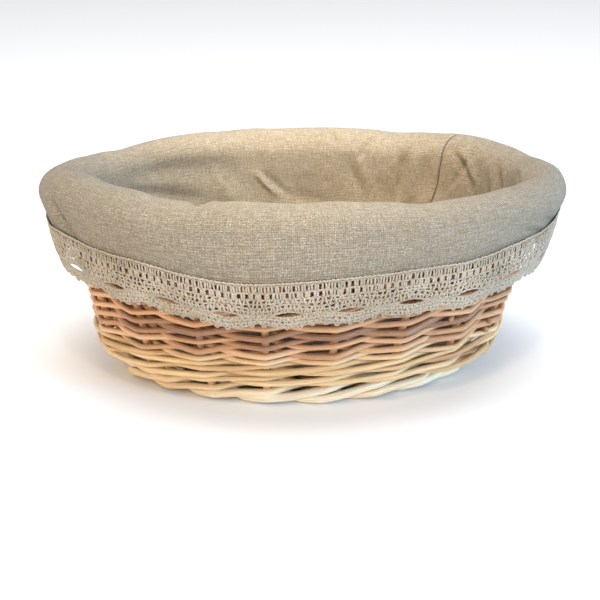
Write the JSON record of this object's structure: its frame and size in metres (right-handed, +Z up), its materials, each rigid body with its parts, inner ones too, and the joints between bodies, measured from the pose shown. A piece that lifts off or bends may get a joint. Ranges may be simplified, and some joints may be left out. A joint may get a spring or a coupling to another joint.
{
  "type": "bread basket",
  "caption": "Oval bread basket of woven willow on a round-rod foot, with a linen liner rolled over a thick border and an openwork crochet trim on its hem",
  "frame": {"origin": "on the table, under the middle of the basket's outline", "axes": "+X along the oval's length, -Y the front, +Z up"},
  "size_m": [0.28, 0.1884, 0.1135],
  "materials": {
    "buff_willow": "peeled boiled willow, smooth, semi-gloss",
    "pale_willow": "peeled white willow, smooth, semi-gloss",
    "linen": "natural linen, plain weave, matt",
    "lace": "ecru cotton crochet, matt"
  },
  "bodies": {
    "root": {"base_long_sticks": "pale_willow", "base_short_sticks": "pale_willow", "base_weave_row_1": "pale_willow", "base_weave_row_2": "pale_willow", "base_weave_row_3": "pale_willow", "base_weave_row_4": "pale_willow", "base_weave_row_5": "pale_willow", "border_core_rod": "buff_willow", "border_outer_rods": "buff_willow", "foot_wale_rod_1": "pale_willow", "foot_wale_rod_2": "pale_willow", "foot_wale_rod_3": "pale_willow", "lace_trim": "lace", "liner_base_panel": "linen", "liner_wall_and_cuff": "linen", "side_stakes": "buff_willow", "side_weave_row_01": "buff_willow", "side_weave_row_02": "buff_willow", "side_weave_row_03": "buff_willow", "side_weave_row_04": "buff_willow", "side_weave_row_05": "buff_willow", "side_weave_row_06": "buff_willow", "side_weave_row_07": "buff_willow", "side_weave_row_08": "buff_willow", "side_weave_row_09": "buff_willow", "side_weave_row_10": "buff_willow", "upsett_wale_row_1": "pale_willow", "upsett_wale_row_2": "pale_willow"}
  },
  "joints": []
}
